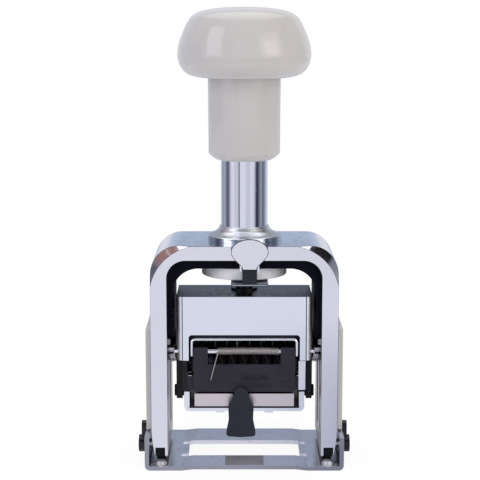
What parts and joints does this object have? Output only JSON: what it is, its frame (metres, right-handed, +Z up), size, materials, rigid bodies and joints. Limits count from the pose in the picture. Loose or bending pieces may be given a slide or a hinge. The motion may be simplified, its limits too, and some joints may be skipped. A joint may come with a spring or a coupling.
{
  "type": "numbering machine",
  "caption": "Hand numbering machine: a mushroom-knob plunger drives wheels of raised numerals down through an inverted-U chrome frame while the ink pad swings clear.",
  "frame": {"origin": "on the table, under the barrel's axis: the middle of the bottom of the bounding box", "axes": "+Z up along the plunger, +Y away from the front, +X to the right seen from the front"},
  "size_m": [0.0706, 0.044, 0.15],
  "materials": {
    "chrome_frame": "polished chrome plate",
    "bright_chrome": "polished chrome plate",
    "housing_chrome": "polished chrome plate",
    "base_chrome": "satin chrome plate",
    "black_liner": "black, semi-gloss",
    "washer_plastic": "natural nylon",
    "rubber": "black",
    "cover_plastic": "moulded, satin",
    "catch_plastic": "black, moulded",
    "knob_plastic": "moulded, glossy",
    "brass": "turned",
    "bright_steel": "turned",
    "spring_steel": "drawn",
    "blackened_steel": "blackened",
    "black_plate": "black, satin",
    "type_metal": "engraved steel, inked",
    "pad_case_nickel": "satin nickel plate",
    "pad_felt": "inked felt",
    "tab_plastic": "black, satin"
  },
  "bodies": {
    "frame": {"frame": "chrome_frame", "guide_liner": "black_liner", "barrel": "bright_chrome", "barrel_flange": "bright_chrome", "cushion_washer": "washer_plastic", "spring_seat": "brass", "return_spring": "spring_steel", "base_plate": "base_chrome", "base_screws": "bright_steel", "leg_feet": "rubber", "side_cover_left": "cover_plastic", "side_cover_right": "cover_plastic", "catch_pins": "bright_steel", "lock_guide": "bright_chrome"},
    "catch_left": {"base_catch_left": "catch_plastic"},
    "catch_right": {"base_catch_right": "catch_plastic"},
    "lock": {"lock_slide": "bright_chrome", "lock_tab": "tab_plastic"},
    "carriage": {"handle_knob": "knob_plastic", "knob_insert": "brass", "handle_sleeve": "knob_plastic", "plunger_rod": "blackened_steel", "spring_collar": "brass", "plunger_nut": "bright_steel", "wheel_housing": "housing_chrome", "housing_screws": "bright_steel", "side_plate_left": "blackened_steel", "side_plate_right": "blackened_steel", "tie_bars": "bright_steel", "main_shaft": "bright_steel", "shaft_spacers": "bright_steel", "cheek_drums": "blackened_steel", "back_plate": "blackened_steel", "guide_pins": "bright_steel", "front_plate": "black_plate", "plate_clip": "bright_chrome", "spring_pin": "bright_chrome", "plate_spring": "spring_steel", "wire_bail": "bright_chrome", "detent_rod": "blackened_steel", "pivot_screws": "bright_steel"},
    "detent": {"detent_pawls": "blackened_steel"},
    "yoke": {"drive_yoke": "spring_steel", "drive_pawl_pin": "bright_steel", "drive_pawls": "spring_steel"},
    "pad_arms": {"pad_arm_left": "blackened_steel", "pad_arm_right": "blackened_steel", "arm_rivets": "blackened_steel", "cam_pins": "bright_steel", "pad_cradle": "bright_chrome"},
    "pad_tray": {"ink_pad_case": "pad_case_nickel", "ink_pad": "pad_felt", "pad_handle": "tab_plastic"},
    "wheel_1": {"number_wheel_1": "type_metal"},
    "wheel_2": {"number_wheel_2": "type_metal"},
    "wheel_3": {"number_wheel_3": "type_metal"},
    "wheel_4": {"number_wheel_4": "type_metal"},
    "wheel_5": {"number_wheel_5": "type_metal"},
    "wheel_6": {"number_wheel_6": "type_metal"}
  },
  "joints": [
    {"name": "press", "type": "slide", "parent": "frame", "child": "carriage", "axis": [0, 0, -1], "range_m": [0, 0.0216], "stiffness_N_per_m": 500, "springref_m": -0.012, "deforming": ["return_spring"]},
    {"name": "pad_swing", "type": "hinge", "parent": "carriage", "child": "pad_arms", "pos_m": [0, -0.009, 0.037], "axis": [-1, 0, 0], "range_deg": [0, 95.5]},
    {"name": "yoke_swing", "type": "hinge", "parent": "carriage", "child": "yoke", "pos_m": [0, -0.0024, 0.0318], "axis": [1, 0, 0], "range_deg": [0, 36.5]},
    {"name": "detent_lift", "type": "hinge", "parent": "carriage", "child": "detent", "pos_m": [0, -0.0085, 0.0465], "axis": [-1, 0, 0], "range_deg": [0, 4], "stiffness_Nm_per_rad": 0.02, "springref_deg": -17.19},
    {"name": "pad_pull", "type": "slide", "parent": "pad_arms", "child": "pad_tray", "axis": [0, -1, 0], "range_m": [0, 0.01]},
    {"name": "lock_push", "type": "slide", "parent": "frame", "child": "lock", "axis": [0, 1, 0], "range_m": [0, 0.0015], "stiffness_N_per_m": 400, "springref_m": -0.002},
    {"name": "catch_left_turn", "type": "hinge", "parent": "frame", "child": "catch_left", "pos_m": [-0.035, -0.009, 0.0053], "axis": [-1, 0, 0], "range_deg": [0, 80]},
    {"name": "catch_right_turn", "type": "hinge", "parent": "frame", "child": "catch_right", "pos_m": [0.035, -0.009, 0.0053], "axis": [-1, 0, 0], "range_deg": [0, 80]},
    {"name": "wheel_1_turn", "type": "hinge", "parent": "carriage", "child": "wheel_1", "pos_m": [0, -0.0024, 0.0318], "axis": [1, 0, 0], "continuous": true},
    {"name": "wheel_2_turn", "type": "hinge", "parent": "carriage", "child": "wheel_2", "pos_m": [0, -0.0024, 0.0318], "axis": [1, 0, 0], "continuous": true},
    {"name": "wheel_3_turn", "type": "hinge", "parent": "carriage", "child": "wheel_3", "pos_m": [0, -0.0024, 0.0318], "axis": [1, 0, 0], "continuous": true},
    {"name": "wheel_4_turn", "type": "hinge", "parent": "carriage", "child": "wheel_4", "pos_m": [0, -0.0024, 0.0318], "axis": [1, 0, 0], "continuous": true},
    {"name": "wheel_5_turn", "type": "hinge", "parent": "carriage", "child": "wheel_5", "pos_m": [0, -0.0024, 0.0318], "axis": [1, 0, 0], "continuous": true},
    {"name": "wheel_6_turn", "type": "hinge", "parent": "carriage", "child": "wheel_6", "pos_m": [0, -0.0024, 0.0318], "axis": [1, 0, 0], "continuous": true}
  ],
  "couplings": [
    {"joint": "pad_swing", "follows": "press", "rad_per_m": 76.762},
    {"joint": "yoke_swing", "follows": "press", "rad_per_m": 29.089}
  ]
}
